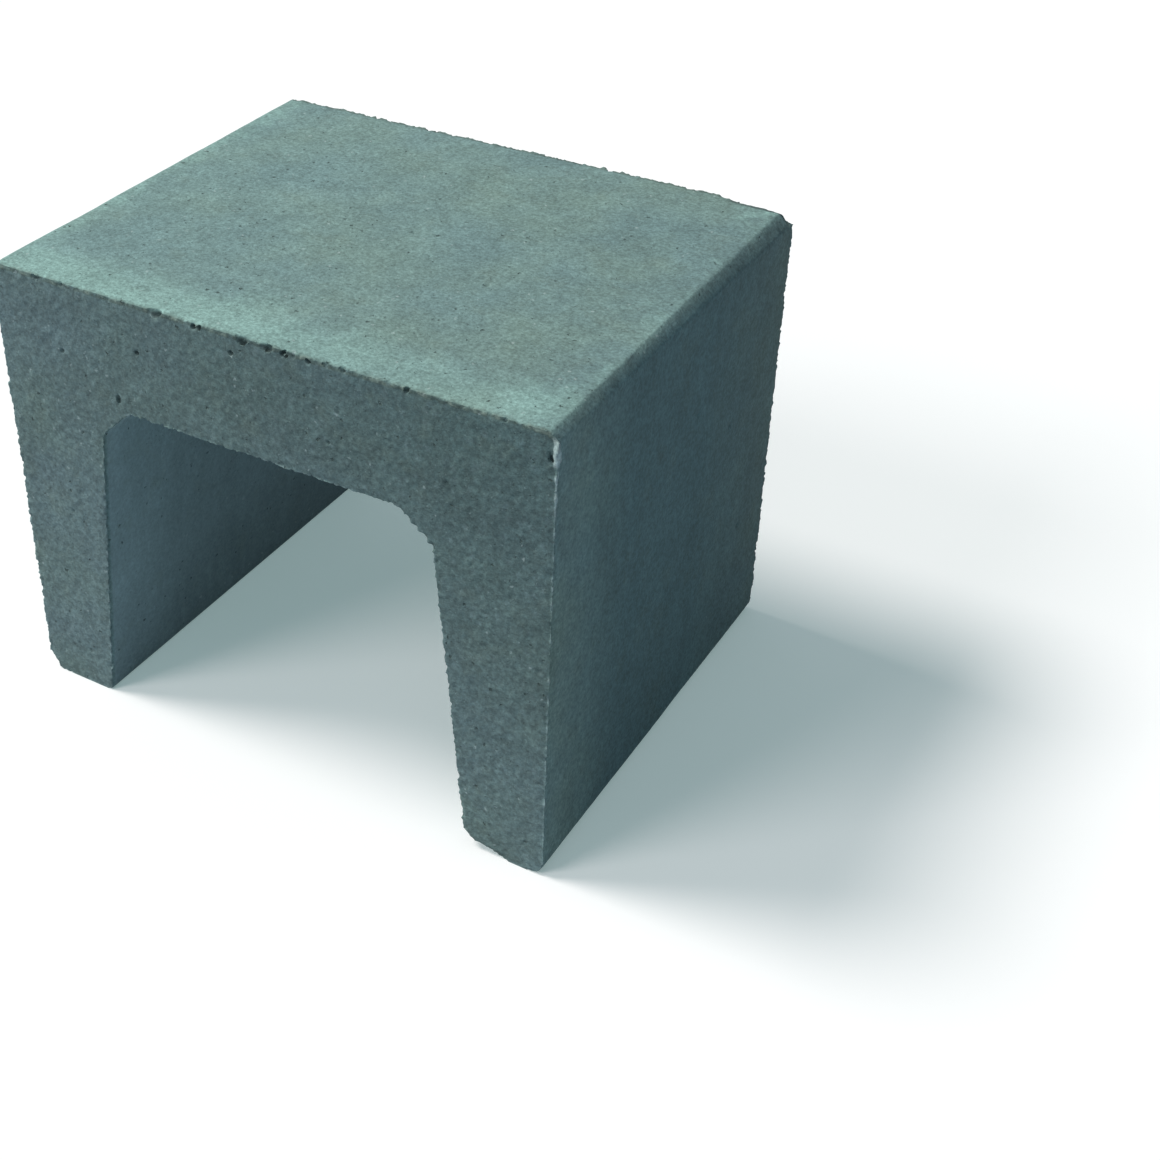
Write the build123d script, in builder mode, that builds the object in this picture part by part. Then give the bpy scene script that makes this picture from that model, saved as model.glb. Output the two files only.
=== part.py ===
from build123d import *
from math import atan2, hypot, tan
import os

# Concrete U-block: a channel-shaped element cast in one piece, standing on its two legs.
# Sizes are in millimetres. The channel runs along Y, +Z is up, and the origin is on the
# ground under the middle of the block.

# Overall size
width = 500.0             # across both legs
length = 400.0            # along the channel
height = 400.0            # from the feet to the top face

# Walls
slab_thickness = 100.0    # top slab, between the haunches
leg_at_soffit = 100.0     # leg thickness where it meets the slab
leg_at_foot = 70.0        # leg thickness on the ground

# Haunches: splays that thicken the channel's two top corners
haunch = 27.0             # each short side of a splay
haunch_blend = 25.0       # radius that eases both ends of a splay
least_flat = 1.0          # straight stretch that a blend leaves in its half of the splay

# Mould-rounded corners of the section
top_edge_round = 8.0
outer_foot_round = 12.0
inner_foot_round = 4.0

# The inside of the channel, worked out from the walls
half_width = width / 2
soffit_height = height - slab_thickness
half_channel = half_width - leg_at_soffit
wall_lean = (leg_at_soffit - leg_at_foot) / soffit_height

# The splay's two ends: on the soffit, and on the leaning inner face of the leg
splay_head = (half_channel - haunch, soffit_height)
splay_foot = (half_channel + wall_lean * haunch, soffit_height - haunch)

# A splay holds one blend at each end, so a blend is limited to its half of the splay.
splay_run = splay_foot[0] - splay_head[0]
blend_room = hypot(splay_run, haunch) / 2 - least_flat
blend = min(haunch_blend, blend_room / tan(atan2(haunch, splay_run) / 2))


with BuildPart() as u_block:
    with BuildSketch(Plane.XZ):
        with BuildLine():
            # The right half of the section, from the soffit round the leg to the top face
            FilletPolyline(
                (0, soffit_height),
                splay_head,
                splay_foot,
                (half_width - leg_at_foot, 0),
                (half_width, 0),
                (half_width, height),
                (0, height),
                radius=(blend, blend, inner_foot_round, outer_foot_round, top_edge_round),
            )
            mirror(about=Plane.YZ)
        make_face()
    extrude(amount=length / 2, both=True)

u_block.part.label = "u_block"
os.makedirs("parts", exist_ok=True)
export_step(u_block.part, "parts/u_block.step")
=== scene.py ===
# %% [markdown]
# # A concrete U-block
# The real object is one casting of vibrated concrete: a flat slab on two legs that get thinner
# towards the ground. The engineering model gives its exact size and place, and this lesson
# builds the same block again with the ragged edges, pores and cement bloom of the real one.
# The frame is loaded first, because every size below is read from it or stands beside it.

# %% Load the frame
import math
import random
import bmesh
import bpy
import numpy as np
from mathutils import Matrix, Vector


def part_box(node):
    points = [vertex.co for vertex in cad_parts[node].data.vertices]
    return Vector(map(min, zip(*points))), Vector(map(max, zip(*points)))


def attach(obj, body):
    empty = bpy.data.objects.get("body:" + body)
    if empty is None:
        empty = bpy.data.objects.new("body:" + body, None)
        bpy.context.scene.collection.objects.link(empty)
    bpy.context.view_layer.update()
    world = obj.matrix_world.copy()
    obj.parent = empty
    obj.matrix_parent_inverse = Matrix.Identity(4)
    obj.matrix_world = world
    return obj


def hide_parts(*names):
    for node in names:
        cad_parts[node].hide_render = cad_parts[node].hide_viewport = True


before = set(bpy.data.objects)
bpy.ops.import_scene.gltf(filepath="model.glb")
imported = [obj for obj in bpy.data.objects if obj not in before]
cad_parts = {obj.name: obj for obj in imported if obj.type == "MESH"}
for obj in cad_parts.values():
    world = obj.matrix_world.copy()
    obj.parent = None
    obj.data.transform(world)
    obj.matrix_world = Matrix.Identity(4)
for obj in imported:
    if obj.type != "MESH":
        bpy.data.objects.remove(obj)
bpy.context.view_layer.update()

MM = 0.001  # everything in the scene is in metres
low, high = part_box("u_block")
half_width, half_length, height = high.x, high.y, high.z
print("block", [round(v / MM, 1) for v in (high - low)], "mm")

# %% [markdown]
# ## Camera
# The block was photographed from above its right leg. The camera stands where the block's
# straight edges meet the same vanishing points as in the picture. A real camera is aimed with
# yaw, pitch and roll, so the three turns are written like that. The block sits left of and above
# the picture's middle, and the lens axis goes through it, so the lens is shifted.

# %% Camera
image_width = 1160.0  # the picture is square, in pixels
focal_pixels = 1792.8
lens_centre = (400.0, 490.0)  # the pixel that the lens axis passes through
yaw, pitch, roll = (math.radians(a) for a in (33.157, 33.344, 1.167))
camera_place = (0.7051, -1.0860, 1.0113)

bpy.ops.object.select_all(action="DESELECT")
bpy.ops.object.camera_add(location=camera_place)
camera = bpy.context.object
camera.name = "camera"
aim = (Matrix.Rotation(yaw, 4, "Z") @ Matrix.Rotation(math.pi / 2 - pitch, 4, "X")
       @ Matrix.Rotation(-roll, 4, "Z"))
camera.rotation_euler = aim.to_euler()
camera.data.sensor_width = 36.0
camera.data.lens = focal_pixels / image_width * camera.data.sensor_width
camera.data.shift_x = (image_width / 2 - lens_centre[0]) / image_width
camera.data.shift_y = (lens_centre[1] - image_width / 2) / image_width
bpy.context.scene.camera = camera
print("lens", round(camera.data.lens, 1), "mm, shift",
      round(camera.data.shift_x, 3), round(camera.data.shift_y, 3))

# %% [markdown]
# ## Selecting in code
# By hand you would click on an edge. In a script the edge is found by where it is, so these
# helpers ask a question about the middle and the direction of every edge, or the middle and the
# normal of every face, and select the ones that answer yes.

# %% Helpers for edit mode
def edit(piece):
    """Makes one piece active, alone in the selection, and opens it in edit mode."""
    bpy.ops.object.mode_set(mode="OBJECT")
    bpy.ops.object.select_all(action="DESELECT")
    piece.select_set(True)
    bpy.context.view_layer.objects.active = piece
    bpy.ops.object.mode_set(mode="EDIT")


def select(piece, what, wanted):
    """Selects the faces or edges whose middle and direction pass the test."""
    bpy.ops.mesh.select_mode(type="FACE" if what == "faces" else "EDGE")
    bpy.ops.mesh.select_all(action="DESELECT")
    mesh = bmesh.from_edit_mesh(piece.data)
    count = 0
    for item in getattr(mesh, what):
        if what == "faces":
            middle, direction = item.calc_center_median(), item.normal
        else:
            start, end = (v.co for v in item.verts)
            middle, direction = (start + end) / 2, (end - start).normalized()
        if wanted(middle, direction):
            item.select_set(True)
            count += 1
    bmesh.update_edit_mesh(piece.data)
    return count


def near(a, b, tolerance=0.5 * MM):
    """True where two lengths are the same for all practical purposes."""
    return abs(a - b) < tolerance


# %% [markdown]
# ## The plain form
# A U-block is drawn by its section: slab, leg, haunch. It could be drawn as an outline and
# extruded, but growing it from the slab shows how the parts relate. A cube becomes the slab,
# two cuts divide its underside, and the two outer bays are pulled down as legs.

# %% Slab and legs
slab_thickness = 100 * MM
leg_at_soffit = 100 * MM
leg_at_foot = 70 * MM
soffit = height - slab_thickness
half_channel = half_width - leg_at_soffit

bpy.ops.object.select_all(action="DESELECT")
bpy.ops.mesh.primitive_cube_add(
    size=1, location=(0, 0, height - slab_thickness / 2),
    scale=(2 * half_width, 2 * half_length, slab_thickness))
block = bpy.context.object
block.name = "cast_block"
bpy.ops.object.transform_apply(location=True, rotation=True, scale=True)

edit(block)
for hand in (-1, 1):
    bpy.ops.mesh.select_all(action="SELECT")
    bpy.ops.mesh.bisect(plane_co=(hand * half_channel, 0, 0), plane_no=(1, 0, 0))
select(block, "faces", lambda c, n: n.z < -0.9 and abs(c.x) > half_channel)
bpy.ops.mesh.extrude_region_move(TRANSFORM_OT_translate={"value": (0, 0, -soffit)})
print("slab and legs:", len(block.data.polygons), "faces before editing")

# %% [markdown]
# The inner face of each leg leans, so that the core of the mould can be pulled out. Only the
# foot's inner edge moves, and the wall follows it.

# %% Lean the inner walls
for hand in (-1, 1):
    select(block, "edges",
           lambda c, d: near(c.z, 0) and near(c.x, hand * half_channel) and abs(d.y) > 0.9)
    bpy.ops.transform.translate(value=(hand * (leg_at_soffit - leg_at_foot), 0, 0))
half_channel_at_foot = half_channel + leg_at_soffit - leg_at_foot
print("channel", round(2 * half_channel / MM), "mm wide under the slab,",
      round(2 * half_channel_at_foot / MM), "mm on the ground")

# %% [markdown]
# Haunches thicken the corners under the slab, where the load turns into the leg. A bevel of one
# segment cuts the flat splay, and a second, rounder bevel eases both of its ends, as the steel
# core of the mould does. The same tool rounds the edges that the mould leaves round.

# %% Haunches and rounded edges
haunch = 27 * MM
haunch_blend = 14 * MM  # sharper than in the solid, as the left haunch shows it
top_edge_round = 8 * MM
outer_foot_round = 12 * MM
inner_foot_round = 4 * MM
wall_lean = (leg_at_soffit - leg_at_foot) / soffit
splay_turn = math.atan2(haunch, haunch * (1 + wall_lean))


def along_y(x, z):
    """A test for the pair of edges that run along the block at plus or minus x and at height z."""
    return lambda c, d: abs(d.y) > 0.9 and near(abs(c.x), x) and near(c.z, z)


def round_edges(x, z, offset, segments):
    """Bevels the pair of edges along the block at plus or minus x and height z."""
    found = select(block, "edges", along_y(x, z))
    bpy.ops.mesh.bevel(offset=offset, segments=segments, profile=0.5, affect="EDGES")
    print("bevelled", found, "edges by", round(offset / MM, 1), "mm")


round_edges(half_channel, soffit, haunch, 1)
blend_offset = haunch_blend * math.tan(splay_turn / 2)
lean_length = math.hypot(1, wall_lean)
splay_foot = Vector((half_channel + wall_lean * haunch / lean_length, 0, soffit - haunch / lean_length))
round_edges(half_channel - haunch, soffit, blend_offset, 6)
round_edges(splay_foot.x, splay_foot.z, blend_offset, 6)
round_edges(half_width, height, top_edge_round, 6)
round_edges(half_width, 0, outer_foot_round, 6)
round_edges(half_channel_at_foot, 0, inner_foot_round, 3)

# %% [markdown]
# The right top edge has been rubbed down more than the others, to a slope of its own that gets
# wider towards the back. Three points give the slope, and bisect cuts the block along that plane,
# throws the outer part away and closes the cut.

# %% Worn right top edge
wear_at_front = 6.5 * MM
wear_at_back = 9.5 * MM
wear_slant = 1.07  # how far the slope drops for each millimetre outwards

wear_start = Vector((half_width - wear_at_front, -half_length, height))
down_slope = Vector((wear_at_front, 0, -wear_at_front * wear_slant))
to_back = Vector((wear_at_front - wear_at_back, 2 * half_length, 0))
off_wear = down_slope.cross(to_back).normalized()
bpy.ops.mesh.select_all(action="SELECT")
bpy.ops.mesh.bisect(plane_co=wear_start, plane_no=off_wear, use_fill=True, clear_outer=True)
bpy.ops.object.mode_set(mode="OBJECT")
print("plain form:", len(block.data.polygons), "faces, the slope faces",
      [round(v, 2) for v in off_wear])

# %% [markdown]
# ## Broken arrises and pores
# Concrete never leaves the mould with perfect edges. The long edges of this block are rounded by
# the mould, but the edges round its two ends are raw: crumbs break off when the block is pushed
# out, and air leaves small pores. Each crumb is a little lump cut away with a boolean, and a few
# lumps are added where paste was squeezed out. All of them are copies of a few shapes, each with
# its own size and turn. Two helpers come first, which work on whole objects.

# %% Helpers for whole objects
def finish_with(piece, kind, **settings):
    """Adds one modifier with its settings and applies it."""
    bpy.ops.object.select_all(action="DESELECT")
    piece.select_set(True)
    bpy.context.view_layer.objects.active = piece
    bpy.ops.object.modifier_add(type=kind)
    modifier = piece.modifiers[-1]
    for name, value in settings.items():
        setattr(modifier, name, value)
    bpy.ops.object.modifier_apply(modifier=modifier.name)


def join(pieces, name):
    """Joins pieces to one object whose place and size are in its mesh."""
    bpy.ops.object.select_all(action="DESELECT")
    for piece in pieces:
        piece.select_set(True)
    bpy.context.view_layer.objects.active = pieces[0]
    bpy.ops.object.join()
    joined = bpy.context.object
    joined.name = name
    bpy.ops.object.transform_apply(location=True, rotation=True, scale=True)
    return joined


# %% [markdown]
# An air bubble leaves a round pore, and a crumb that breaks off leaves a ragged one. The round
# lump is an icosphere whose points are pushed about a little, and the ragged one is a handful of
# balls that a voxel remesh grows together. Where a whole corner is knocked off, the break is flat
# and ends in sharp edges, so its lump is two pyramids, base to base. All are about one unit across.

# %% Lumps to copy
chance = random.Random(11)  # a fixed seed, so every run draws the same chances
balls_per_bite = 12


def make_bubble(seed):
    """A round lump for pores."""
    bpy.ops.object.select_all(action="DESELECT")
    bpy.ops.mesh.primitive_ico_sphere_add(subdivisions=2, radius=0.5, location=(0, 0, 0))
    bubble = bpy.context.object
    bubble.name = f"bubble_{seed}"
    edit(bubble)
    bpy.ops.mesh.select_all(action="SELECT")
    bpy.ops.transform.vertex_random(offset=0.11, uniform=0.5, normal=0.3, seed=seed)
    bpy.ops.object.mode_set(mode="OBJECT")
    return bubble


def make_bite(number):
    """A ragged lump for broken edges: balls that overlap, made into one skin."""
    balls = []
    for _ in range(balls_per_bite):
        middle = [chance.uniform(-0.30, 0.30) for _ in range(3)]
        bpy.ops.object.select_all(action="DESELECT")
        bpy.ops.mesh.primitive_ico_sphere_add(subdivisions=2, radius=chance.uniform(0.14, 0.28),
                                              location=middle)
        balls.append(bpy.context.object)
    bite = join(balls, f"bite_{number}")
    finish_with(bite, "REMESH", mode="VOXEL", voxel_size=0.05)
    finish_with(bite, "DECIMATE", ratio=0.25)
    return bite


bubbles = [make_bubble(seed) for seed in (3, 8, 15, 21)]
bites = [make_bite(number) for number in range(5)]

# with four sides and one ring of points between its poles, a sphere becomes the two pyramids
bpy.ops.object.select_all(action="DESELECT")
bpy.ops.mesh.primitive_uv_sphere_add(segments=4, ring_count=2, radius=0.5, location=(0, 0, 0))
knock = bpy.context.object
knock.name = "knock"
print("lumps:", [len(lump.data.polygons) for lump in bubbles + bites + [knock]], "faces")

# %% [markdown]
# A boolean goes wrong where two cutters overlap. So every cut joins the first of two batches in
# which it touches no other lump, and each batch is cut in a boolean of its own.

# %% Helpers that place lumps
batches = [([], []), ([], [])]  # the lumps of each batch, and their middles and half sizes
nibs = []


def copy_lump(shapes, middle, size, turn):
    """One of the shapes at its place, with its own mesh and a chance turn."""
    source = chance.choice(shapes)
    copy = source.copy()
    copy.data = source.data.copy()
    bpy.context.scene.collection.objects.link(copy)
    copy.location = middle
    copy.scale = size
    copy.rotation_euler = [chance.uniform(-turn, turn) for _ in range(3)]
    return copy


def cut(shapes, middle, size, turn=0.5):
    """Places a lump that is cut away, sizes in millimetres, unless there is no room for it."""
    middle, size = Vector(middle) * MM, Vector(size) * MM
    reach = max(size) / 2
    for lumps, places in batches:
        if all((middle - other).length > reach + other_reach for other, other_reach in places):
            lumps.append(copy_lump(shapes, middle, size, turn))
            places.append((middle, reach))
            return


def add_nib(shapes, middle, size, turn=0.5):
    """Places a lump of paste that stands out."""
    nibs.append(copy_lump(shapes, Vector(middle) * MM, Vector(size) * MM, turn))


# %% [markdown]
# The marks that the eye notices first are placed one by one: the row of bites under the front
# top edge with the hole at its right end, the broken right haunch, the nicks down the legs, the
# corners knocked off the front feet, the pores, the long break that lowers the far top edge, and
# the far right corner. Two kinds stand out instead: small nibs of paste along the far top edge,
# and a fin of paste that squeezed out of the mould at the top of the near upright edge. Places
# are in millimetres.

# %% Crumbs placed one by one
front, back, top, side = -half_length / MM, half_length / MM, height / MM, half_width / MM

# x, z, width, height of each bite in the front face. A ragged lump doesn't fill its size, so
# it is placed a little larger, and half of its thickness lies in the block.
bite_thickness = 11
for x, z, wide, tall in (
        (-204, 398, 6, 4), (-178, 398, 6, 3), (-162, 398, 6, 3), (-86, 397.5, 13, 6),
        (-48, 397.5, 10, 6), (-37, 397, 6, 4), (-28, 395, 6, 4), (-7, 398, 12, 8),
        (16, 398, 12, 7), (31, 397, 8, 5), (41, 398, 8, 5), (51, 397, 9, 4), (67, 398, 6, 3),
        (81, 398, 5, 3), (104, 398, 5, 3), (133, 398, 7, 4), (155, 398, 6, 3), (181, 398, 6, 3),
        (210, 398, 5, 3), (247.5, 382, 10, 9), (-41, 360, 5, 4), (-17, 384, 4, 4),
        (-108, 358, 5, 4), (13, 365, 4, 4), (118, 353, 10, 3), (-132, 311, 4, 8),
        (-185, 339, 4, 4), (66, 335, 4, 3), (182, 370, 5, 4)):
    cut(bites, (x, front, z), (wide * 1.2, bite_thickness, tall * 1.4), turn=0.25)

# x, z and size of each crumb lost from the raw edges of the channel and the legs
for x, z, size in (
        (113, 301.5, 4), (119, 300, 5), (126, 297, 5.5), (132, 292, 6), (138, 287, 6),
        (145, 281.5, 7.5), (152, 275.5, 6.5), (158.5, 263, 6), (159, 208, 5), (163, 163, 4),
        (167.5, 127, 6), (173.5, 67, 6), (176.5, 36, 4), (73, 299, 5), (40, 299, 5),
        (-13, 299, 4), (250.5, 245, 3.5), (250.5, 214, 4), (250.5, 330, 3), (250.5, 120, 3.5),
        (-250.5, 295, 5), (-250.5, 199, 4.5), (-250.5, 240, 3.5), (-250.5, 150, 4),
        (-250.5, 84, 5), (213, 0, 6)):
    cut(bites, (x, front - 0.5, z), (size * 1.2, size, size * 1.2))

# middle and size of each knock that took corners off the front feet
for middle, size in (((-250, front, 0), (20, 30, 30)), ((178, front, 0), (28, 36, 30)),
                     ((178, front, 0), (96, 24, 15))):
    cut([knock], middle, size, turn=0.06)

# x, y and size of each pore in the top, then y, z and size of each in the right side
for x, y, size in ((6, 11, 4.5), (40, -19, 3.5), (103, -39, 5.5), (111, 56, 4.5), (-168, -55, 3.5),
                   (-229, -34, 4), (217, -145, 4.5), (24, -94, 3), (-56, 86, 3), (154, 113, 3)):
    cut(bubbles, (x, y, top), (size, size, size * 0.9))
for y, z, size in ((34, 294, 5), (103, 248, 5), (143, 127, 6), (-76, 281, 4), (-120, 163, 4),
                   (16, 94, 4), (55, 192, 3.5), (-150, 330, 3.5)):
    cut(bubbles, (side, y, z), (size * 0.9, size, size))

# x and size of the paste nibs left along the far top edge, then the fin on the near upright edge
for x, size in ((-53, 4), (-18, 2.5), (34, 2.5), (78, 5.5), (96, 4.5), (140, 3)):
    add_nib(bites, (x, back - 0.2, top - 0.3), (size * 1.6, size * 0.8, size))
for z, size, tall in (
        (385, 6.2, 19), (366, 3.0, 18), (348, 2.4, 12), (331, 2.2, 14)):
    add_nib(bubbles, (side - 0.2, front + 0.2, z), (size, size, tall), turn=0.03)

# the far top edge is broken off lower towards the far right corner, which is worn round
cut(bubbles, (242, back + 3, top + 3), (140, 30, 17), turn=0)
cut(bubbles, (side + 13, back + 8, top + 12), (62, 60, 58), turn=0)
print("placed by hand:", [len(lumps) for lumps, _ in batches], "cuts and", len(nibs), "nibs")

# %% [markdown]
# The rest are scattered along every raw edge, as chance leaves them. The seed is fixed, so the
# same block comes out each time. Each edge has its own average gap, because the top edges, over
# which the mould is pulled off, lose more than the feet.

# %% Crumbs scattered along the raw edges
channel_corner = (half_channel - haunch) / MM
splay_x, splay_z = splay_foot.x / MM, splay_foot.z / MM
foot_x, soffit_z = half_channel_at_foot / MM, soffit / MM

# start and end of each raw edge as x, z, with the average gap and the largest crumb
raw_edges = [((-side, top), (side, top), 13, 5.0),
             ((-channel_corner, soffit_z), (channel_corner, soffit_z), 15, 4.0)]
for hand in (-1, 1):
    raw_edges += [
        ((hand * side, 10), (hand * side, top - 8), 18, 4.0),
        ((hand * foot_x, 4), (hand * splay_x, splay_z), 17, 4.0),
        ((hand * splay_x, splay_z), (hand * channel_corner, soffit_z), 9, 5.0),
        ((hand * foot_x, 0), (hand * (side - 12), 0), 20, 4.0)]

for (x0, z0), (x1, z1), gap, largest in raw_edges:
    run = math.dist((x0, z0), (x1, z1))
    for y in (front, back):
        crumbs = int(run / gap)
        for _ in range(crumbs):
            share = chance.random()
            size = largest * chance.uniform(0.35, 1.0) ** 1.5
            jitter = [chance.uniform(-0.3, 0.3) * size for _ in range(3)]
            middle = (x0 + share * (x1 - x0) + jitter[0], y + jitter[1],
                      z0 + share * (z1 - z0) + jitter[2])
            cut(bubbles, middle, (size * chance.uniform(1, 1.7), size, size * chance.uniform(0.8, 1.2)))
print("with the scattered ones:", [len(lumps) for lumps, _ in batches], "cuts")

# %% [markdown]
# Pores in the two end faces are scattered the same way. Most are small, because the chance that
# sets a size is taken to its third power. A place is kept only where it falls on concrete, so
# this is also where the lesson needs a measure of how deep a point lies inside the section: the
# distance to the nearest of its straight sides. The top gets pores of its own.

# %% Pores in the ends and the top
tries_per_end = 150
pores_in_top = 60
off_the_edges = 4 * MM  # a pore nearer to an edge would look like a crumb
wall_normal = np.array((1, wall_lean)) / lean_length
splay_normal = np.array((math.sin(splay_turn), math.cos(splay_turn)))


def depth_in_section(x, z):
    """Distance from points of an end face to the section's outline, above zero in concrete."""
    x = np.abs(x)
    past_wall = (x - half_channel) * wall_normal[0] + (z - soffit) * wall_normal[1]
    past_soffit = z - soffit
    past_splay = (x - splay_foot.x) * splay_normal[0] + (z - splay_foot.z) * splay_normal[1]
    past_channel = np.maximum(np.maximum(past_wall, past_soffit), past_splay)
    return np.minimum.reduce([past_channel, height - z, half_width - x, z])


for y in (front, back):
    for _ in range(tries_per_end):
        x, z = chance.uniform(-side, side), chance.uniform(0, top)
        size = 1.6 + 3.2 * chance.random() ** 3
        if depth_in_section(x * MM, z * MM) > off_the_edges:
            cut(bubbles, (x, y, z), (size, size, size))
for _ in range(pores_in_top):
    size = 1.6 + 2.4 * chance.random() ** 3
    cut(bubbles, (chance.uniform(-235, 235), chance.uniform(-190, 190), top), (size, size, size))
print("with the pores:", [len(lumps) for lumps, _ in batches], "cuts")

# %% [markdown]
# ## Cutting, and one even skin
# One boolean takes away each batch of lumps. What is left has long thin faces beside tiny ones,
# and no point in between that could be pushed about. A voxel remesh turns it into an even skin of
# small squares, joins the nibs to it, and softens the knife-sharp edges by about a millimetre,
# which is just how sharp concrete gets.

# %% Boolean and voxel remesh
def points_of(piece):
    """The piece's points as an array, one row each."""
    flat = np.zeros(len(piece.data.vertices) * 3)
    piece.data.vertices.foreach_get("co", flat)
    return flat.reshape(-1, 3)


voxel = 1.25 * MM

for lumps, _ in batches:
    cutters = join(lumps, "crumbs")
    finish_with(block, "BOOLEAN", operation="DIFFERENCE", object=cutters, solver="EXACT")
    bpy.data.objects.remove(cutters)
    print("after a boolean:", len(block.data.polygons), "faces")
paste = join(nibs, "paste")
block = join([block, paste], "cast_block")
finish_with(block, "REMESH", mode="VOXEL", voxel_size=voxel, use_smooth_shade=True)
print("after the remesh:", len(block.data.polygons), "faces")
for helper in bubbles + bites + [knock]:
    bpy.data.objects.remove(helper)

# %% [markdown]
# ## Where each kind of surface is
# The block has two kinds of skin. Its two ends were struck off and set down on a pallet, so they
# are open and grainy. Everything else ran along steel and is smooth. The relief has to know
# which is which, so each point gets a weight from its distance to the end planes, and another
# from its distance to a raw edge. Vertex groups carry such weights to the modifiers.

# %% Vertex groups
def fade(distance, start, end):
    """One up to start, zero from end on, and a smooth slope between them."""
    share = np.clip((distance - start) / (end - start), 0, 1)
    return 1 - share * share * (3 - 2 * share)


def measures(points):
    """How far each point lies behind its end plane, and how far from the nearest raw edge."""
    behind_end = np.maximum(half_length - np.abs(points[:, 1]), 0)
    under_wear = (np.array(wear_start) - points) @ np.array(off_wear)
    inside = np.maximum(np.minimum(depth_in_section(points[:, 0], points[:, 2]), under_wear), 0)
    return behind_end, inside + behind_end


def add_group(piece, name, weights, steps=32):
    """Stores weights from zero to one as a vertex group."""
    group = piece.vertex_groups.new(name=name)
    levels = np.rint(weights * steps).astype(int)
    for level in range(1, steps + 1):
        members = np.flatnonzero(levels == level)
        if len(members):
            group.add(members.tolist(), level / steps, "REPLACE")


edge_reach = 6 * MM  # how far from a raw edge it still crumbles

points = points_of(block)
behind_end, from_edge = measures(points)
# the feet stand flat, so nothing is pushed about on the ground
off_ground = 1 - fade(points[:, 2], 0.5 * MM, 4 * MM)
add_group(block, "raw_ends", fade(behind_end, 0.5 * MM, 3 * MM) * off_ground)
add_group(block, "raw_edges", fade(from_edge, 1.0 * MM, edge_reach) * off_ground)
add_group(block, "smooth_skin", (1 - fade(behind_end, 3 * MM, 12 * MM)) * off_ground)
print("points:", len(points), "near a raw edge:", int((from_edge < edge_reach).sum()))

# %% [markdown]
# ## Relief
# A displace modifier pushes points along their normals by the brightness of a texture. Several
# weak ones at different scales look like concrete, and a single strong one looks like orange
# peel. Depths are in millimetres, and middle is the brightness that leaves a point where it is.

# %% Displace modifiers
def push(piece, group, kind, grain, depth, middle=0.5, **settings):
    """Displaces a vertex group by a texture with that grain and depth, both in millimetres."""
    pattern = bpy.data.textures.new(f"{group}_{grain}", kind)
    pattern.noise_scale = grain * MM
    for name, value in settings.items():
        setattr(pattern, name, value)
    finish_with(piece, "DISPLACE", texture=pattern, texture_coords="LOCAL", direction="NORMAL",
                vertex_group=group, strength=depth * MM, mid_level=middle)


# group, pattern, grain, depth
push(block, "smooth_skin", "CLOUDS", 60, 0.9, noise_depth=1)
push(block, "smooth_skin", "CLOUDS", 9, 0.25, noise_depth=2)
push(block, "raw_ends", "CLOUDS", 28, 1.2, noise_depth=2)
push(block, "raw_ends", "CLOUDS", 5, 1.1, noise_depth=2)
push(block, "raw_ends", "VORONOI", 4.5, 0.8, middle=0.5, noise_intensity=1.0)
push(block, "raw_edges", "CLOUDS", 7, 2.1, middle=0.62, noise_depth=2)
push(block, "raw_edges", "CLOUDS", 3, 1.2, middle=0.55, noise_depth=1)
print("relief patterns:", len(bpy.data.textures))

# %% [markdown]
# The even skin has far more squares than a flat wall needs. Decimate merges them where nothing
# happens and keeps them where a crumb or a pore turns sharply, so most of the triangles end up
# on the raw ends and edges. Points of the feet that sank below the ground are lifted back to it.

# %% Decimate and shade
triangle_budget = 190_000
sharpest_smooth_turn = math.radians(50)  # where two faces turn more than this, an edge shows
finish_with(block, "DECIMATE", ratio=triangle_budget / (2 * len(block.data.polygons)),
            use_collapse_triangulate=True)
points = points_of(block)
points[:, 2] = np.maximum(points[:, 2], 0)
block.data.vertices.foreach_set("co", points.ravel())
block.data.update()
block.vertex_groups.clear()
bpy.ops.object.shade_smooth_by_angle(angle=sharpest_smooth_turn)
print("finished skin:", len(block.data.polygons), "triangles")

# %% [markdown]
# The finish follows the two kinds of skin. It changes at the raw edges too, where paste gathers as
# a thin line, and in deep pores, which are painted dark as their shade. Three numbers are stored on
# the points as attributes, which a material can read: raw_end is one on the struck ends and in
# their pores, edge_nearness is one on a raw edge and zero 6 mm away from it, and sunk is one at
# the bottom of a deep pore or bite.

# %% Attributes for the material
behind_end, from_edge = measures(points)
inside = from_edge - behind_end
sunk = np.minimum(inside, behind_end)
for name, values in (("raw_end", np.clip(0.5 + (inside - behind_end) / (2 * MM), 0, 1)),
                     ("edge_nearness", fade(from_edge, 0, edge_reach)),
                     ("sunk", 1 - fade(sunk, 0.7 * MM, 2.6 * MM))):
    layer = block.data.attributes.new(name, "FLOAT", "POINT")
    layer.data.foreach_set("value", values.astype(np.float32))
    print(name, "reaches from", round(float(values.min()), 2), "to", round(float(values.max()), 2))

# %% [markdown]
# ## The concrete
# A material is a chain of small steps, and in Blender every step is a node. One helper adds a
# node with its settings, and fills each input with a plain value or with a link from an earlier
# node. An input is called by its name or its number. Map Range reads its inputs 1 and 2 as the
# range that comes in, and 3 and 4 as the range that goes out. Mix has two values at 2 and 3, or
# two colours at 6 and 7. Colours are written as they look on a screen, and turned into the light
# they stand for.

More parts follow.
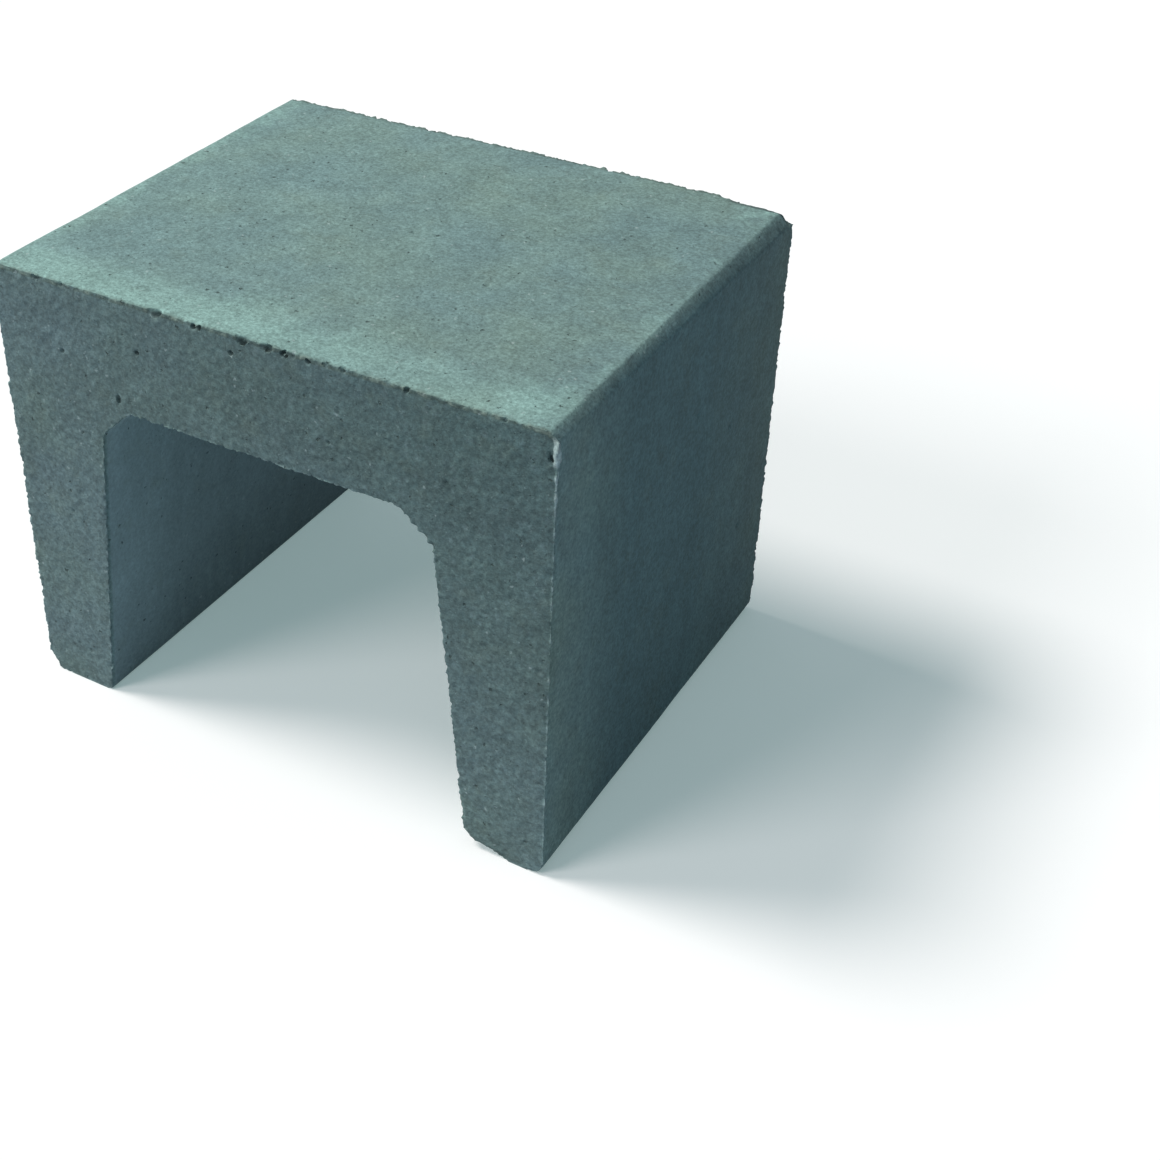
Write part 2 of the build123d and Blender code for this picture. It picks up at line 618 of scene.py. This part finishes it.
# %% Helpers for materials
def add(nodes, kind, inputs=None, **settings):
    """Adds a node by its name after ShaderNode, sets its options, and fills or links its inputs."""
    node = nodes.new("ShaderNode" + kind)
    for name, value in settings.items():
        setattr(node, name, value)
    for socket, value in (inputs or {}).items():
        if isinstance(value, bpy.types.NodeSocket):
            node.id_data.links.new(value, node.inputs[socket])
        else:
            node.inputs[socket].default_value = value
    return node


def linear(code):
    """Turns a screen colour such as #78928f into linear light, with full opacity."""
    shares = [int(code[i:i + 2], 16) / 255 for i in (1, 3, 5)]
    return [s / 12.92 if s < 0.04045 else ((s + 0.055) / 1.055) ** 2.4 for s in shares] + [1.0]


# %% [markdown]
# Grey concrete is never one grey. Cement has a blue-green cast, and it dries in clouds a hand
# wide, a little bluer in some and greener in others. The raw ends are painted darker, as shade for
# the light that is lost between their open grains, and darkest at the right of the slab.
# The texture space is the object's own, in metres, so a scale is one over the size of a cloud.

# %% Cement colours
concrete = bpy.data.materials.new("vibrated_concrete")
concrete.use_nodes = True
nodes = concrete.node_tree.nodes
shader = nodes["Principled BSDF"]

spot = add(nodes, "TexCoord").outputs["Object"]
across, along, up = add(nodes, "SeparateXYZ", {0: spot}).outputs
raw_end = add(nodes, "Attribute", attribute_name="raw_end").outputs["Fac"]
edge_nearness = add(nodes, "Attribute", attribute_name="edge_nearness").outputs["Fac"]
sunk = add(nodes, "Attribute", attribute_name="sunk").outputs["Fac"]

noise_low, noise_high = 0.3, 0.7  # nearly all of a noise texture lies between these
cloud = add(nodes, "TexNoise", {"Vector": spot, "Scale": 1 / (85 * MM), "Detail": 4.0}).outputs["Fac"]
clouded = add(nodes, "MapRange", {0: cloud, 1: 0.35, 2: 0.65}).outputs[0]
skin_cement = add(nodes, "Mix", {0: clouded, 6: linear("#6f8988"), 7: linear("#758d85")},
                  data_type="RGBA").outputs[2]
end_cement = add(nodes, "Mix", {0: clouded, 6: linear("#718688"), 7: linear("#708581")},
                 data_type="RGBA").outputs[2]
# the painted shade on the ends grows to the right, and is least at the feet
painted_end_shade = add(nodes, "MapRange", {0: across, 1: -half_width, 2: half_width, 3: 0.2, 4: 0.95}).outputs[0]
less_at_feet = add(nodes, "MapRange", {0: up, 1: 0.0, 2: height, 3: 0.2, 4: 1.0}).outputs[0]
painted_end_shade = add(nodes, "Math", {0: painted_end_shade, 1: less_at_feet}, operation="MULTIPLY").outputs[0]
end_cement = add(nodes, "Mix", {0: painted_end_shade, 6: end_cement, 7: linear("#4f6665")},
                 data_type="RGBA").outputs[2]
# the smooth skin is palest at the left
paler_left = add(nodes, "MapRange", {0: across, 1: -half_width, 2: half_width, 3: 0.40, 4: 0.0}).outputs[0]
skin_cement = add(nodes, "Mix", {0: paler_left, 6: skin_cement, 7: linear("#86a6a4")},
                  data_type="RGBA").outputs[2]
print("cement colours:", len(nodes), "nodes so far")

# %% [markdown]
# The two kinds of wall differ a little. The channel ran along the polished core of the mould, so
# its cement is greyer, and the outer sides are painted bluer away from their ends, as the bluish
# tint of shade. Masks tell them apart: the channel is what lies well inside the outer sides and
# under the slab, and it starts a few millimetres behind the front, so that no crumb in the end
# face takes its colour.

# %% Walls
from_front = add(nodes, "Math", {0: along, 1: half_length}, operation="ADD").outputs[0]
sideways = add(nodes, "Math", {0: across}, operation="ABSOLUTE").outputs[0]
channel = add(nodes, "Math", {0: sideways, 1: half_width - 40 * MM}, operation="LESS_THAN").outputs[0]
under_slab = add(nodes, "Math", {0: up, 1: soffit + 5 * MM}, operation="LESS_THAN").outputs[0]
behind_front = add(nodes, "MapRange", {0: from_front, 1: 1.5 * MM, 2: 5 * MM}).outputs[0]
for limit in (under_slab, behind_front):
    channel = add(nodes, "Math", {0: channel, 1: limit}, operation="MULTIPLY").outputs[0]
outer = add(nodes, "MapRange", {0: sideways, 1: half_width - 6 * MM, 2: half_width - 1 * MM}).outputs[0]
painted_blue_shade = outer
# the painted blue shade fades in over these millimetres behind the front, and out again at the back
for start, end in ((20, 120), (385, 250)):
    away = add(nodes, "MapRange", {0: from_front, 1: start * MM, 2: end * MM}).outputs[0]
    painted_blue_shade = add(nodes, "Math", {0: painted_blue_shade, 1: away}, operation="MULTIPLY").outputs[0]
greyer = add(nodes, "Math", {0: channel, 1: 0.9}, operation="MULTIPLY").outputs[0]
for mask, wall_colour in ((painted_blue_shade, "#678789"), (greyer, "#76898a")):
    skin_cement = add(nodes, "Mix", {0: mask, 6: skin_cement, 7: linear(wall_colour)},
                      data_type="RGBA").outputs[2]
cement = add(nodes, "Mix", {0: raw_end, 6: skin_cement, 7: end_cement}, data_type="RGBA").outputs[2]
print("with the walls:", len(nodes), "nodes")

# %% [markdown]
# On the raw ends the larger grains lie open, as soft pale blotches of 4 to 8 mm. Voronoi cells
# stand for the grains: their random colour picks which grains show, and the distance to their
# middle gives the soft shape. Noise pushes the cells about first, because no two grains of
# crushed stone have the same outline. Over the whole block lie faint mossy stains, a finger wide.

# %% Open grains and faint stains
grain_cell = 8.5 * MM  # one cell holds one grain
push_about = 5 * MM
uneven = add(nodes, "TexNoise", {"Vector": spot, "Scale": 1 / (3 * MM), "Detail": 2.0}).outputs["Color"]
uneven = add(nodes, "VectorMath", {0: uneven, 1: (0.5, 0.5, 0.5)}, operation="SUBTRACT").outputs[0]
uneven = add(nodes, "VectorMath", {0: uneven, 1: (push_about, push_about, push_about), 2: spot},
             operation="MULTIPLY_ADD").outputs[0]
grains = add(nodes, "TexVoronoi", {"Vector": uneven, "Scale": 1 / grain_cell})
picked = add(nodes, "SeparateColor", {0: grains.outputs["Color"]}).outputs[1]
picked = add(nodes, "MapRange", {0: picked, 1: 0.55, 2: 0.95, 4: 0.50}).outputs[0]
grain = add(nodes, "MapRange", {0: grains.outputs["Distance"], 1: 0.50, 2: 0.22}).outputs[0]
grain = add(nodes, "Math", {0: grain, 1: picked}, operation="MULTIPLY").outputs[0]
grain = add(nodes, "Math", {0: grain, 1: raw_end}, operation="MULTIPLY").outputs[0]
grainy = add(nodes, "Mix", {0: grain, 6: cement, 7: linear("#82979a")}, data_type="RGBA").outputs[2]

stain = add(nodes, "TexNoise", {"Vector": spot, "Scale": 1 / (30 * MM), "Detail": 5.0,
                                "Roughness": 0.65}).outputs["Fac"]
stain = add(nodes, "MapRange", {0: stain, 1: 0.54, 2: 0.68, 4: 0.17}).outputs[0]
stained = add(nodes, "Mix", {0: stain, 6: grainy, 7: linear("#6f7c6c")}, data_type="RGBA").outputs[2]
print("with grains and stains:", len(nodes), "nodes")

# %% [markdown]
# Lime bloom is the pale film that water leaves behind where it dries last. On this block it lies
# on the top, in a band along the front edge, which is weaker to the right, thinner along the two
# sides, and in patches on the near and the far right corner. Each band is measured from its edge,
# each patch from its middle, and noise makes their inner borders wander.

# %% Lime bloom
wander_by = 20 * MM  # a border strays this far to either side
wander = add(nodes, "TexNoise", {"Vector": spot, "Scale": 1 / (38 * MM), "Detail": 6.0,
                                 "Roughness": 0.62}).outputs["Fac"]
wander = add(nodes, "MapRange", {0: wander, 1: noise_low, 2: noise_high, 3: -wander_by,
                                 4: wander_by}).outputs[0]
from_left = add(nodes, "Math", {0: across, 1: half_width}, operation="ADD").outputs[0]
from_right = add(nodes, "Math", {0: half_width, 1: across}, operation="SUBTRACT").outputs[0]
near_corner = add(nodes, "VectorMath", {0: spot, 1: (222 * MM, -172 * MM, height)},
                  operation="DISTANCE").outputs["Value"]
far_corner = add(nodes, "VectorMath", {0: spot, 1: (230 * MM, 192 * MM, height)},
                 operation="DISTANCE").outputs["Value"]
weaker_right = add(nodes, "MapRange", {0: across, 1: 0.0, 2: 120 * MM, 3: 0.75, 4: 0.38}).outputs[0]

bloom = 0.0
# distance, middle and softness of the border in mm, and strength
for distance, width, softness, strength in (
        (from_front, 38, 28, weaker_right), (from_left, 16, 14, 0.55), (from_right, 12, 10, 0.25),
        (near_corner, 30, 16, 0.62), (far_corner, 14, 10, 0.6)):
    wandering = add(nodes, "Math", {0: distance, 1: wander}, operation="ADD").outputs[0]
    band = add(nodes, "MapRange", {0: wandering, 1: (width + softness) * MM, 2: (width - softness) * MM,
                                   4: strength}, interpolation_type="SMOOTHSTEP").outputs[0]
    bloom = add(nodes, "Math", {0: bloom, 1: band}, operation="MAXIMUM").outputs[0]
on_top = add(nodes, "MapRange", {0: up, 1: height - 4 * MM, 2: height - 1 * MM}).outputs[0]
smooth_skin = add(nodes, "Math", {0: 1.0, 1: raw_end}, operation="SUBTRACT").outputs[0]
for limit in (on_top, smooth_skin):
    bloom = add(nodes, "Math", {0: bloom, 1: limit}, operation="MULTIPLY").outputs[0]
bloomed = add(nodes, "Mix", {0: bloom, 6: stained, 7: linear("#90b3ab")}, data_type="RGBA").outputs[2]
print("with the bloom:", len(nodes), "nodes")

# %% [markdown]
# Along the raw edges two things show. Under the top edge the paste is painted darker brown-green,
# as the shade of its bites, with paler crumbs in it, and round the channel and down the legs it
# stands as a thin pale line, broken wherever a crumb fell. The fin of paste is the palest. Seen
# from in front, only the rim of the far end shows, as a thin dark line of painted shade behind the top.

# %% Paste and painted shade along the edges
breaks = add(nodes, "TexNoise", {"Vector": spot, "Scale": 1 / (9 * MM), "Detail": 3.0}).outputs["Fac"]
top_arris = add(nodes, "MapRange", {0: up, 1: height - 9 * MM, 2: height - 5 * MM}).outputs[0]
low_arris = add(nodes, "Math", {0: 1.0, 1: top_arris}, operation="SUBTRACT").outputs[0]
# soft balls round the thick and the thin part of the paste fin on the near upright edge
fins = []
for z, radius in ((385, 11), (364, 17)):
    away = add(nodes, "VectorMath", {0: spot, 1: (half_width, -half_length, z * MM)},
               operation="DISTANCE").outputs["Value"]
    fins.append(add(nodes, "MapRange", {0: away, 1: (radius + 1) * MM,
                                        2: (radius - 1) * MM}).outputs[0])
on_end = add(nodes, "MapRange", {0: raw_end, 3: 0.3, 4: 1.0}).outputs[0]
far_rim = add(nodes, "MapRange", {0: from_front, 1: 2 * half_length - 8 * MM,
                                  2: 2 * half_length - 4 * MM, 4: 0.9}).outputs[0]
far_rim = add(nodes, "Math", {0: on_end, 1: far_rim}, operation="MAXIMUM").outputs[0]
stands = add(nodes, "MapRange", {0: up, 1: soffit, 2: height - 20 * MM, 3: 0.74, 4: 1.0}).outputs[0]
line_fades_in = 0.25  # over this much of the nearness
break_fades_in = 0.06  # over this much noise, both ways
edged = bloomed
# which edge, what fades it, nearness and noise where it starts, strength, colour
for arris, faded, nearest, break_point, strength, paste_and_shade_colour in (
        # the first row is painted shade, under the top edge of the ends and along the far rim
        (top_arris, far_rim, 0.25, 0.36, 0.65, "#52625a"),
        (top_arris, on_end, 0.45, 0.55, 0.55, "#8fa094"),
        (low_arris, stands, 0.68, 0.55, 0.46, "#a9bebf"),
        (fins[1], 1.0, 0.74, 0.42, 0.70, "#b0c4c2"),
        (fins[0], 1.0, 0.42, 0.20, 0.65, "#b4c7c5")):
    line = add(nodes, "MapRange", {0: edge_nearness, 1: nearest, 2: nearest + line_fades_in,
                                   4: strength}).outputs[0]
    whole = add(nodes, "MapRange", {0: breaks, 1: break_point - break_fades_in,
                                    2: break_point + break_fades_in}).outputs[0]
    for limit in (arris, whole, faded):
        line = add(nodes, "Math", {0: line, 1: limit}, operation="MULTIPLY").outputs[0]
    edged = add(nodes, "Mix", {0: line, 6: edged, 7: linear(paste_and_shade_colour)}, data_type="RGBA").outputs[2]
print("with the paste:", len(nodes), "nodes")

# %% [markdown]
# Sand shows through the thin cement skin, so the surface is mottled at the size of its grains,
# and more softly at the size of a fingertip where the paste was richer. Each layer makes the
# cement a little darker or lighter, the coarse sand the most. The upright faces get one more
# layer, drawn out downwards, because the mould's steel wipes them as the block is pushed out.

# %% Sand and wiping marks
tone = 1.0
# size in mm, darkest and lightest
for size, darkest, lightest in (
        (45, 0.93, 1.07), (13, 0.94, 1.06), (6, 0.89, 1.11), (2.8, 0.79, 1.22), (1.3, 0.90, 1.11)):
    noise = add(nodes, "TexNoise", {"Vector": spot, "Scale": 1 / (size * MM),
                                    "Detail": 1.5}).outputs["Fac"]
    layer = add(nodes, "MapRange", {0: noise, 1: noise_low, 2: noise_high, 3: darkest,
                                    4: lightest}).outputs[0]
    tone = add(nodes, "Math", {0: tone, 1: layer}, operation="MULTIPLY").outputs[0]

# the polished core pressed the channel smooth, so the sand shows half as much there
polished = add(nodes, "Math", {0: channel, 1: 0.5}, operation="MULTIPLY").outputs[0]
tone = add(nodes, "Mix", {0: polished, 2: tone, 3: 1.0}).outputs[0]

stretched = add(nodes, "VectorMath", {0: spot, 1: (1.0, 1.0, 0.12)}, operation="MULTIPLY").outputs[0]
wiped = add(nodes, "TexNoise", {"Vector": stretched, "Scale": 1 / (16 * MM),
                                "Detail": 3.0}).outputs["Fac"]
wiped = add(nodes, "MapRange", {0: wiped, 1: noise_low, 2: noise_high, 3: 0.93, 4: 1.05}).outputs[0]
upright = add(nodes, "MapRange", {0: up, 1: height - 1 * MM, 2: height - 8 * MM}).outputs[0]
upright = add(nodes, "Math", {0: upright, 1: smooth_skin}, operation="MULTIPLY").outputs[0]
wiped = add(nodes, "Mix", {0: upright, 2: 1.0, 3: wiped}).outputs[0]
tone = add(nodes, "Math", {0: tone, 1: wiped}, operation="MULTIPLY").outputs[0]
print("with sand and wiping marks:", len(nodes), "nodes")

# %% [markdown]
# The outer steel leaves a dense skin that is a little darker. Both kinds of wall are painted paler
# in a strip behind the front end, as light thrown up by the floor in front. The channel is painted
# paler far inwards as light, most at its open front, and darker at its foot, as painted shade near
# the ground. The bottoms of pores and bites are painted dark as their shade.

# %% Dense skin, painted light and painted shade
zone = add(nodes, "MapRange", {0: sideways, 1: half_width - 10 * MM, 2: half_width - 1 * MM, 3: 1.0,
                               4: 0.86}).outputs[0]
# the channel is painted paler, most at its open front, as the light that falls in there
painted_channel_light = add(nodes, "MapRange", {0: along, 1: -half_length, 2: half_length / 2, 3: 1.66,
                                      4: 1.30}).outputs[0]
# mask, width of the strip of painted light in mm, tone at the front and behind the strip
for mask, width, at_front, behind in ((channel, 130, 1.22, 1.0), (outer, 130, 1.46, 0.96)):
    strip = add(nodes, "MapRange", {0: from_front, 1: 0.0, 2: width * MM, 3: at_front, 4: behind},
                interpolation_type="SMOOTHSTEP").outputs[0]
    strip = add(nodes, "Mix", {0: mask, 2: 1.0, 3: strip}).outputs[0]
    zone = add(nodes, "Math", {0: zone, 1: strip}, operation="MULTIPLY").outputs[0]
# painted shade near the ground, at the foot of the channel
painted_floor_shade = add(nodes, "MapRange", {0: up, 1: 0.0, 2: 110 * MM, 3: 0.76, 4: 1.0}).outputs[0]
for layer in (painted_channel_light, painted_floor_shade):
    layer = add(nodes, "Mix", {0: channel, 2: 1.0, 3: layer}).outputs[0]
    zone = add(nodes, "Math", {0: zone, 1: layer}, operation="MULTIPLY").outputs[0]
zone = add(nodes, "Mix", {0: smooth_skin, 2: 1.0, 3: zone}).outputs[0]
# the bottoms of pores and bites are painted dark as their shade
painted_pore_shade = add(nodes, "MapRange", {0: sunk, 3: 1.0, 4: 0.46}).outputs[0]
for layer in (zone, painted_pore_shade):
    tone = add(nodes, "Math", {0: tone, 1: layer}, operation="MULTIPLY").outputs[0]
sandy = add(nodes, "Mix", {0: 1.0, 6: edged, 7: tone}, data_type="RGBA",
            blend_type="MULTIPLY").outputs[2]
print("with dry strips and dirt:", len(nodes), "nodes")

# %% [markdown]
# Last come the small spots: bright quartz grains, and pinholes where an air bubble burst, painted
# dark as their shade. Again each Voronoi cell may hold one, and the share of cells that do decides
# how often they occur.

# %% Bright grains and pinholes
flecked = sandy
holes = 0.0
# cell and spot radius in mm, share of cells, strength, colour, and whether it is a hole, whose dark
# colour is painted shade
for cell, radius, share, strength, fleck_colour, is_hole in (
        (9, 1.1, 0.30, 0.55, "#b4c6c3", False), (4, 0.5, 0.30, 0.40, "#a9bdb9", False),
        (11, 1.1, 0.40, 0.75, "#33443f", True), (4.5, 0.5, 0.40, 0.50, "#3a4b48", True)):
    cells = add(nodes, "TexVoronoi", {"Vector": uneven, "Scale": 1 / (cell * MM)})
    holder = add(nodes, "SeparateColor", {0: cells.outputs["Color"]}).outputs[0]
    holder = add(nodes, "Math", {0: holder, 1: share}, operation="LESS_THAN").outputs[0]
    fleck = add(nodes, "MapRange", {0: cells.outputs["Distance"], 1: 1.4 * radius / cell,
                                    2: 0.6 * radius / cell, 4: strength}).outputs[0]
    fleck = add(nodes, "Math", {0: fleck, 1: holder}, operation="MULTIPLY").outputs[0]
    flecked = add(nodes, "Mix", {0: fleck, 6: flecked, 7: linear(fleck_colour)},
                  data_type="RGBA").outputs[2]
    if is_hole:
        holes = add(nodes, "Math", {0: holes, 1: fleck}, operation="MAXIMUM").outputs[0]
concrete.node_tree.links.new(flecked, shader.inputs["Base Color"])
print("with the small spots:", len(nodes), "nodes")

# %% [markdown]
# Form below a millimetre is left to bump: it only tilts the light, so it costs no triangles. Its
# grit is the same all over, because the mesh already makes the raw ends rougher. Concrete is
# matt, with the refraction of stone, so roughness is high and its index is 1.5.

# %% Fine relief and gloss
fine_share = 0.5  # of the millimetre that a pinhole is deep
fine = add(nodes, "TexNoise", {"Vector": spot, "Scale": 1 / (1.8 * MM), "Detail": 3.0,
                               "Roughness": 0.6}).outputs["Fac"]
fine = add(nodes, "Math", {0: fine, 1: fine_share}, operation="MULTIPLY").outputs[0]
surface = add(nodes, "Math", {0: fine, 1: holes}, operation="SUBTRACT").outputs[0]
relief = add(nodes, "Bump", {"Strength": 1.0, "Distance": 1 * MM, "Height": surface}).outputs[0]
concrete.node_tree.links.new(relief, shader.inputs["Normal"])
shader.inputs["Roughness"].default_value = 0.9
shader.inputs["IOR"].default_value = 1.5

block.data.materials.clear()
block.data.materials.append(concrete)
print("concrete:", len(nodes), "nodes")

# %% [markdown]
# ## Floor
# The studio floor is white paper. In full light it is drawn just white, and a faint glow is part
# of that white, so that the shadow stays soft and grey-green. Real paper would throw far more light
# back up at the block than the real scene did, so to all other rays the floor is a darker grey.

# %% White studio floor
floor_size = 8.0  # in metres, well past the edges of the picture
bpy.ops.object.select_all(action="DESELECT")
bpy.ops.mesh.primitive_plane_add(size=floor_size, location=(0, 0, 0))
floor = bpy.context.object
floor.name = "floor"
paper = bpy.data.materials.new("white_studio_paper")
paper.use_nodes = True
nodes = paper.node_tree.nodes
seen = nodes["Principled BSDF"]
seen.inputs["Base Color"].default_value = linear("#f5ebeb")
seen.inputs["Roughness"].default_value = 1.0
seen.inputs["Specular IOR Level"].default_value = 0.0
seen.inputs["Emission Color"].default_value = linear("#6f8583")
seen.inputs["Emission Strength"].default_value = 1.0
bounce = add(nodes, "BsdfDiffuse", {"Color": linear("#798695")})
rays = add(nodes, "LightPath").outputs
looks = add(nodes, "Math", {0: rays["Is Camera Ray"], 1: rays["Is Glossy Ray"]}, operation="MAXIMUM")
looks = add(nodes, "Math", {0: looks.outputs[0], 1: rays["Is Transmission Ray"]}, operation="MAXIMUM")
both = add(nodes, "MixShader", {0: looks.outputs[0], 1: bounce.outputs[0], 2: seen.outputs[0]})
paper.node_tree.links.new(both.outputs[0], nodes["Material Output"].inputs["Surface"])
floor.data.materials.append(paper)
print("floor", round(floor.dimensions.x), "m wide")

# %% [markdown]
# ## Light
# One large lamp stands to the left and high up, so the top is the brightest face and the shadow
# falls to the right. A weaker one further in front lifts the end face, and a very faint, bluish
# one from the right keeps the shaded side from going flat. A sun lamp suits all three, because
# only its direction and its angle matter. A level of one would light a white sheet that faces the
# lamp to full white, and energy is that level times pi.

# %% Lamps
# name, the way towards the lamp, level, how many degrees wide it looks, tint
for name, toward, level, angle, tint in (
        ("key_lamp", (-0.575, -0.122, 0.809), 0.69, 20, "#fffffb"),
        ("left_front_lamp", (-0.45, -0.67, 0.59), 0.36, 24, "#ffffff"),
        ("right_front_lamp", (0.50, -0.82, 0.27), 0.095, 40, "#dcf0ff")):
    bpy.ops.object.light_add(type="SUN", rotation=Vector(toward).to_track_quat("Z", "Y").to_euler())
    sun = bpy.context.object
    sun.name = name
    sun.data.energy = level * math.pi
    sun.data.angle = math.radians(angle)
    sun.data.color = linear(tint)[:3]
    print(name, "energy", round(sun.data.energy, 2))

# %% [markdown]
# The room itself gives a faint bluish light from all sides. The camera sees it as plain white.

# %% Room light and white backdrop
room_level = 0.228
world = bpy.data.worlds.new("studio")
bpy.context.scene.world = world
world.use_nodes = True
nodes = world.node_tree.nodes
ambient = nodes["Background"]
ambient.inputs["Color"].default_value = linear("#e1f1ff")
ambient.inputs["Strength"].default_value = room_level
backdrop = add(nodes, "Background", {"Color": (1, 1, 1, 1), "Strength": 1.0})
rays = add(nodes, "LightPath").outputs
both = add(nodes, "MixShader", {0: rays["Is Camera Ray"], 1: ambient.outputs[0],
                                2: backdrop.outputs[0]})
world.node_tree.links.new(both.outputs[0], nodes["World Output"].inputs["Surface"])
bpy.context.scene.view_settings.view_transform = "Standard"
print("room light at", room_level)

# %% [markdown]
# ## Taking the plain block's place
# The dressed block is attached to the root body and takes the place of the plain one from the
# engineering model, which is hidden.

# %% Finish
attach(block, "root")
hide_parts("u_block")
